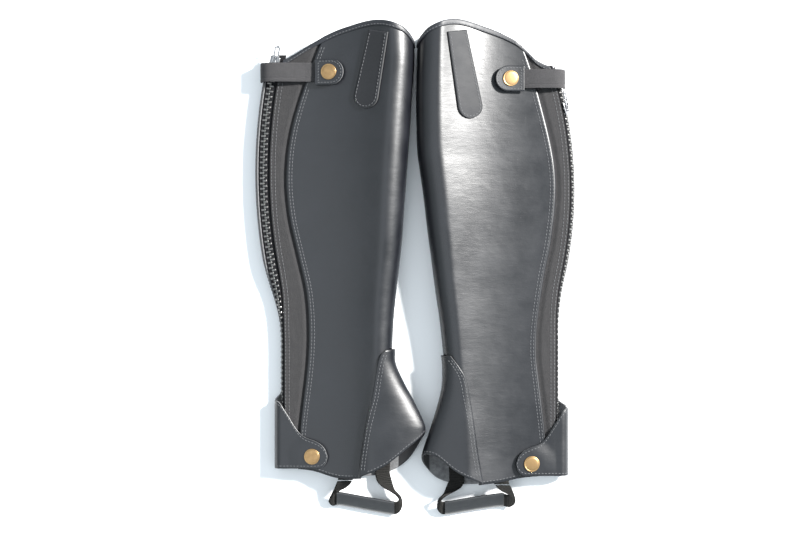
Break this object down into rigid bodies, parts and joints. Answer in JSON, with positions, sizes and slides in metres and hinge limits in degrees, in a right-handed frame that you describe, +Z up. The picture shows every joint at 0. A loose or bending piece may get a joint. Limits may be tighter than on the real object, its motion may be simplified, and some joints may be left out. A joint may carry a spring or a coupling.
{
  "type": "half chaps",
  "caption": "Pair of leather half chaps with a calf zip, stretch panel, snap straps, vamp and elastic under-boot straps.",
  "frame": {"origin": "centre of the pair's footprint on the surface they lie on", "axes": "+Y up the leg to the knee, +Z up from the surface, +X from the left lying chap to the right one"},
  "size_m": [0.3045, 0.471, 0.0433],
  "materials": {
    "leather": "smooth, softly glossy black navy",
    "inner_leather": "smooth outside, rough suede inside",
    "binding": "thin folded leather binding",
    "elastic": "matt woven stretch fabric",
    "foot_webbing": "ribbed elastic webbing",
    "tape": "woven tape",
    "teeth": "moulded, slight sheen",
    "zip_metal": "polished",
    "brass": "satin brushed",
    "sleeve": "glossy"
  },
  "bodies": {
    "left_chap": {"left_outer_panel": "leather", "left_inner_panel": "inner_leather", "left_calf_elastic": "elastic", "left_top_binding": "binding", "left_swagger_tab": "leather", "left_vamp": "leather", "left_zip_tape_outer": "tape", "left_zip_tape_inner": "tape", "left_zip_teeth_outer": "teeth", "left_zip_teeth_inner": "teeth", "left_zip_stops": "zip_metal", "left_snap_studs": "brass", "left_snap_rivets": "brass"},
    "left_strap": {"left_strap_elastic": "elastic", "left_strap_tip": "leather", "left_strap_cap": "brass", "left_strap_socket": "brass"},
    "left_heel": {"left_heel_tab": "leather", "left_heel_cap": "brass", "left_heel_socket": "brass"},
    "left_slider": {"left_zip_slider": "zip_metal"},
    "left_pull": {"left_zip_pull": "zip_metal"},
    "left_foot_strap": {"left_foot_elastic": "foot_webbing", "left_foot_sleeve": "sleeve"},
    "right_chap": {"right_outer_panel": "leather", "right_inner_panel": "inner_leather", "right_calf_elastic": "elastic", "right_top_binding": "binding", "right_swagger_tab": "leather", "right_vamp": "leather", "right_zip_tape_outer": "tape", "right_zip_tape_inner": "tape", "right_zip_teeth_outer": "teeth", "right_zip_teeth_inner": "teeth", "right_zip_stops": "zip_metal", "right_snap_studs": "brass", "right_snap_rivets": "brass"},
    "right_strap": {"right_strap_elastic": "elastic", "right_strap_tip": "leather", "right_strap_cap": "brass", "right_strap_socket": "brass"},
    "right_heel": {"right_heel_tab": "leather", "right_heel_cap": "brass", "right_heel_socket": "brass"},
    "right_slider": {"right_zip_slider": "zip_metal"},
    "right_pull": {"right_zip_pull": "zip_metal"},
    "right_foot_strap": {"right_foot_elastic": "foot_webbing", "right_foot_sleeve": "sleeve"}
  },
  "joints": [
    {"name": "left_strap_swing", "type": "hinge", "parent": "left_chap", "child": "left_strap", "pos_m": [-0.1463, 0.1865, 0.0055], "axis": [0, -1, 0], "range_deg": [0, 150]},
    {"name": "left_heel_swing", "type": "hinge", "parent": "left_chap", "child": "left_heel", "pos_m": [-0.1331, -0.1565, 0.008], "axis": [0, -1, 0], "range_deg": [0, 100]},
    {"name": "left_zip_travel", "type": "hinge", "parent": "left_chap", "child": "left_slider", "pos_m": [0.3555, 0.0925, 0.012], "axis": [0, 0, 1], "range_deg": [0, 20.8]},
    {"name": "left_pull_flip", "type": "hinge", "parent": "left_slider", "child": "left_pull", "pos_m": [-0.1338, 0.1955, 0.01525], "axis": [0.9785, -0.2062, 0], "range_deg": [0, 75]},
    {"name": "left_foot_swing", "type": "hinge", "parent": "left_chap", "child": "left_foot_strap", "pos_m": [-0.049, -0.195, 0.0117], "axis": [-0.94, -0.188, 0.2847], "range_deg": [0, 45]},
    {"name": "right_strap_swing", "type": "hinge", "parent": "right_chap", "child": "right_strap", "pos_m": [0.1413, 0.1805, 0.0055], "axis": [0, 1, 0], "range_deg": [0, 150]},
    {"name": "right_heel_swing", "type": "hinge", "parent": "right_chap", "child": "right_heel", "pos_m": [0.1446, -0.1635, 0.008], "axis": [0, 1, 0], "range_deg": [0, 100]},
    {"name": "right_zip_travel", "type": "hinge", "parent": "right_chap", "child": "right_slider", "pos_m": [-0.2305, 0.0755, 0.012], "axis": [0, 0, -1], "range_deg": [0, 20.2]},
    {"name": "right_pull_flip", "type": "hinge", "parent": "right_slider", "child": "right_pull", "pos_m": [0.14465, 0.15313, 0.01115], "axis": [0.4934, 0.1021, -0.8638], "range_deg": [0, 150]},
    {"name": "right_foot_swing", "type": "hinge", "parent": "right_chap", "child": "right_foot_strap", "pos_m": [0.0605, -0.2015, 0.0117], "axis": [-0.9686, 0.0461, -0.2444], "range_deg": [0, 45]},
    {"name": "right_chap_apart", "type": "slide", "parent": "left_chap", "child": "right_chap", "axis": [1, 0, 0], "range_m": [0, 0.25]}
  ]
}
